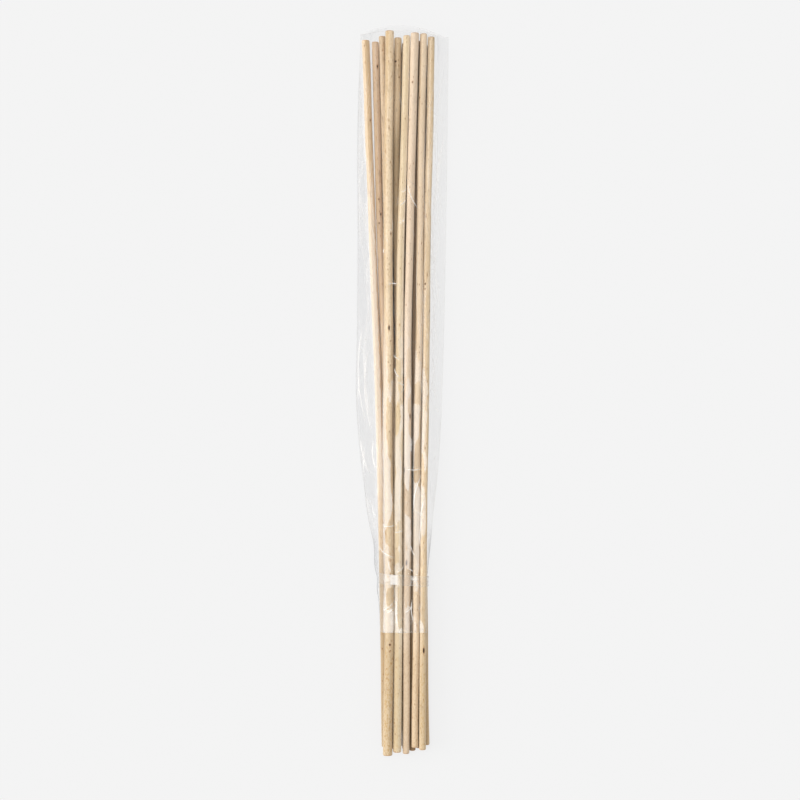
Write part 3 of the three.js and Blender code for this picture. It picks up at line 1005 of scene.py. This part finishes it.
def standoff_and_reflection_at(places, side):
    """Over 0 where the film shows white: partly where it stands off the wood, partly painted reflection
    where it faces the lamps at the left.
    """
    x, y, _ = np.moveaxis(places, 2, 0)
    faces_left = -outward(places, side)[:, :, 0]
    patches = 0.7 * soft_noise(x / 6.5, y / 26, 61) + 0.3 * soft_noise(x / 3, y / 9, 62)
    off = 0.9 * patches + 1.1 * faces_left
    for patch_x, patch_y, half_width, half_length, gain in SEEN_PATCHES:
        off += gain * np.exp(-(((x - patch_x) / half_width) ** 4) - ((y - patch_y) / half_length) ** 4)
    return off


top, top_line, top_strength = creased(top, 1)
under, under_line, under_strength = creased(under, -1)
top_off = standoff_and_reflection_at(top, 1)
under_off = standoff_and_reflection_at(under, -1)
print("creased film rises to", top[:, :, 2].max().round(2), "mm")

# %% [markdown]
# ## Film sleeve
# Both sheets are joined at their folds into one loop a row, and a ringed tube is moved onto these loops, so
# the film is one skin without a seam. The mouth is cut in a curve, and a modifier gives the film a wall.
# The values that the finish reads ride along on its points.

# %% Film sleeve
MOUTH_X = -4
MOUTH_HALF = 44
MOUTH_CURVE = 9.2
MOUTH_BEND = 70  # how far in the cut bends the rows
UNDER_SET_BACK = 2.4
FILM_THICK = 0.05 * MM
SKIRT_EDGE_WHITE = 0.7
MOUTH_EDGE_WHITE = 0.25


def curved_mouth(places, set_back):
    """Lets the mouth fall back at both sides, and in its middle by set_back."""
    x, y, _ = np.moveaxis(places, 2, 0)
    off_middle = np.clip(((x - MOUTH_X) / MOUTH_HALF) ** 2, 0, 1)
    falls_back = MOUTH_CURVE * off_middle + set_back * (1 - off_middle)
    places[:, :, 1] = y - falls_back * ramp(y, MOUTH_MIDDLE - MOUTH_BEND, MOUTH_MIDDLE)
    return places


def joined(upper, lower):
    """One loop a row: the upper sheet from right to left, then the lower one back."""
    return np.concatenate([upper[:, ::-1], lower[:, 1:-1]], axis=1)


loop = joined(curved_mouth(top, 0), curved_mouth(under, UNDER_SET_BACK))
line_off = joined(top_line, under_line)
line_strength = joined(top_strength, under_strength)
# The cut edges of the skirt and the mouth get a white line, a painted highlight.
line_off[[0, -1]] = 0
line_strength[[0, 1]] = SKIRT_EDGE_WHITE
line_strength[[-2, -1]] = MOUTH_EDGE_WHITE
around = loop.shape[1]
form, ring, column = ringed_tube(around, len(rows), False)
sleeve = add_mesh("film_sleeve", form)
x, y, z = loop[ring, column].T
move_points(sleeve, x, y, z)
steps = np.linalg.norm(np.diff(loop, axis=1, append=loop[:, :1]), axis=2)
flat_across = np.cumsum(steps, axis=1) - steps
keep_value(sleeve, "flat", np.stack([flat_across[ring, column], 0 * ring, y], axis=1))
film_values = {
    "line_off": line_off,
    "line_strength": line_strength,
    "standoff_and_reflection": joined(top_off, under_off),
    "whitens": joined(top_whitens, under_whitens),
    "greys": joined(top_greys, under_greys),
}
for name, values in film_values.items():
    keep_value(sleeve, name, values[ring, column])


def give_wall(made, name, thickness):
    """Gives a skin of film a wall, and no shadow."""
    made.data.shade_smooth()
    wall = made.modifiers.new(name, "SOLIDIFY")
    wall.thickness = thickness
    wall.offset = 0.0
    made.visible_shadow = False


give_wall(sleeve, "film_wall", FILM_THICK)
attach(sleeve, "root")
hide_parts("sleeve")
print("film tube of", around, "columns,", len(sleeve.data.polygons), "faces")

# %% [markdown]
# ## Clear film
# Clear film lets nearly all light through. What shows is a faint veil, white lines along sharp creases that
# are partly stress whitening and partly painted glints, white patches that are partly haze where it stands
# off the wood and partly painted reflection, a grey tinge where it is gathered with painted shade down its
# left side, and mirrored lamps. A glass shader would be noisy for film this thin, so the finish mixes
# see-through, a little veil and a mirror.

# %% Clear film
FILM_STREAKS = (0.35, 0.01, 3.0, 0.5)
FILM_FINE = (0.5, 0.14, 3.0, 0.6)
SEE_THROUGH = (0.996, 0.996, 0.996, 1.0)
VEIL_WHITE = (0.9, 0.88, 0.845, 1.0)
# Grey of film gathered near the tape, and painted shade down the film's left side.
GREY_AND_SHADE = (0.36, 0.37, 0.39, 1.0)
GREY_AND_SHADE_SHARE = 0.25
LINE_SHARE = 0.55
FILM_RIPPLE = 0.02 * MM
FILM_IOR = 1.5
MOST_SHINE = 0.12


def clear_film(name, veil_share, white_share):
    """veil_share is the even haze, and white_share the white patches, partly haze where the film stands off
    and partly painted reflection.
    """
    film = new_finish(name)
    flat = film.attribute("flat", "Vector")
    streaks = film.noise(flat, *FILM_STREAKS)
    fine = film.noise(flat, *FILM_FINE)
    frayed = film.attribute("standoff_and_reflection") + 0.4 * (fine - 0.5)
    white = film.step(frayed, 0.02, 0.1) * film.attribute("whitens")
    from_line = film.math("ABSOLUTE", film.attribute("line_off") + 0.5 * (fine - 0.5))
    # A crease's white line: partly stress whitening, partly a painted glint.
    line = film.attribute("line_strength") * (1 - film.step(from_line, 0.1, 0.55))
    haze = veil_share * (0.4 + 1.2 * streaks) + white_share * white + LINE_SHARE * line
    normal = film.bump(fine, FILM_RIPPLE)
    clear = film.node("ShaderNodeBsdfTransparent", None, {"Color": SEE_THROUGH})
    veil = film.principled({"Base Color": VEIL_WHITE, "Roughness": 0.4})
    grey_and_shade = film.principled({"Base Color": GREY_AND_SHADE, "Roughness": 0.4})
    body = film.blend(GREY_AND_SHADE_SHARE * film.attribute("greys"), film.blend(haze, clear, veil), grey_and_shade)
    gloss = {"Color": WHITE, "Roughness": 0.05, "Normal": normal}
    mirror = film.node("ShaderNodeBsdfGlossy", None, gloss)
    glance = film.node("ShaderNodeFresnel", None, {"IOR": FILM_IOR, "Normal": normal})
    shine = film.math("MINIMUM", 0.5 * glance, MOST_SHINE)
    return film.done(film.blend(shine, body, mirror))


sleeve.data.materials.append(clear_film("clear_film", 0.006, 0.21))
print("clear film on", sleeve.name, "mirrors at most", MOST_SHINE)

# %% [markdown]
# ## Tape
# The tape is a narrow band of clear adhesive tape, wound once round the gathered film and stuck onto its
# own start. It is pulled tight, so it spans flat from twig to twig, and some of these spans show white as a
# painted glare, with a painted highlight along its edges. A grid is wound round the taut outline at the
# tape, a little more than one turn.

# %% Tape
TAPE_OVER = 1.15
TAPE_THICK = 0.06 * MM
TAPE_TURNS = 1.1
TAPE_START = 0.06  # turns before the outline's right end where the winding starts
TAPE_SLANT = -0.065
TAPE_STEPS = 200
TAPE_BANDS = 8
TAPE_REACH = 12  # mm that its layers and ripples are shares of
TAPE_LAYER = 0.14
TAPE_RIPPLE = 0.12
TAPE_EDGE_WHITE = 0.5
TAPE_WHITE = 0.06
# Where it spans between two twigs and shows a painted glare: X from and to, and how white it is.
TAPE_BRIDGES = [(-19.5, -11.0, 0.3), (-14.0, -2.6, 1.0), (7.0, 15.8, 0.55)]


def hull_loop(offset):
    """The taut outline round all twigs at the tape, from its right end over the top and back."""
    turns = np.linspace(0, 2 * math.pi, 400, endpoint=False)
    points = []
    for run in runs.values():
        x, z, r = run.at(float(TAPE_Y))
        points.append(np.stack([x + (r + offset) * np.cos(turns), z + (r + offset) * np.sin(turns)], axis=1))
    points = np.concatenate(points)
    x, z = points[np.argsort(points[:, 0])].T
    upper = np.stack([x, taut(x, z)], axis=1)
    lower = np.stack([x, -taut(x, -z)], axis=1)
    return np.concatenate([upper[::-1], lower[1:]])


outline = hull_loop(TAPE_OVER)
length_along = np.concatenate([[0], np.cumsum(np.linalg.norm(np.diff(outline, axis=0), axis=1))])
tape_girth = length_along[-1]
tape_form = bmesh.new()
bmesh.ops.create_grid(tape_form, x_segments=TAPE_STEPS, y_segments=TAPE_BANDS, size=1)
wound = np.array([vert.co for vert in tape_form.verts])
tape = add_mesh("tape_band", tape_form)
band = wound[:, 1]
gone = (wound[:, 0] + 1) / 2 * TAPE_TURNS * tape_girth - TAPE_START * tape_girth
tape_x, tape_z = [np.interp(gone % tape_girth, length_along, line) for line in outline.T]
middle_z = outline[:, 1].mean()
layer = TAPE_LAYER * (gone / tape_girth - 0.5)
ripple = TAPE_RIPPLE * soft_noise(gone / 5, band * 1.4, 8)
grow = 1 + (layer + ripple) / TAPE_REACH
tape_y = TAPE_Y + band * TAPE_WIDTH / 2 + TAPE_SLANT * tape_x
move_points(tape, tape_x * (1 + (grow - 1) * 0.4), tape_y, middle_z + (tape_z - middle_z) * grow)
span_glare = np.zeros_like(gone)
for low_x, high_x, share in TAPE_BRIDGES:
    half = (high_x - low_x) / 2
    off_middle = np.abs(tape_x - low_x - half) / half
    span_glare = np.maximum(span_glare, share * np.clip(1.6 - 1.6 * off_middle, 0, 1))
span_glare = np.where(tape_z > middle_z, span_glare, 0)
wisps = soft_noise(gone / 2.2, band * 3, 9) + 0.6 * soft_noise(gone / 7, band * 5, 10)
keep_value(tape, "flat", np.stack([gone, 0 * gone, tape_y], axis=1))
keep_value(tape, "line_off", (1 - np.abs(band)) * TAPE_WIDTH / 2)
# A painted highlight along the tape's edges, and painted glare on its spans.
keep_value(tape, "line_strength", 0 * gone + TAPE_EDGE_WHITE)
keep_value(tape, "standoff_and_reflection", 0.2 * wisps + 0.25 * span_glare)
keep_value(tape, "whitens", np.clip(span_glare + 0.25 * wisps * span_glare, 0, 1) + TAPE_WHITE)
give_wall(tape, "tape_wall", TAPE_THICK)
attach(tape, "root")
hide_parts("tape")
tape.data.materials.append(clear_film("clear_tape", 0.02, 0.42))
print("tape wound", TAPE_TURNS, "times round a girth of", round(float(tape_girth), 1), "mm")
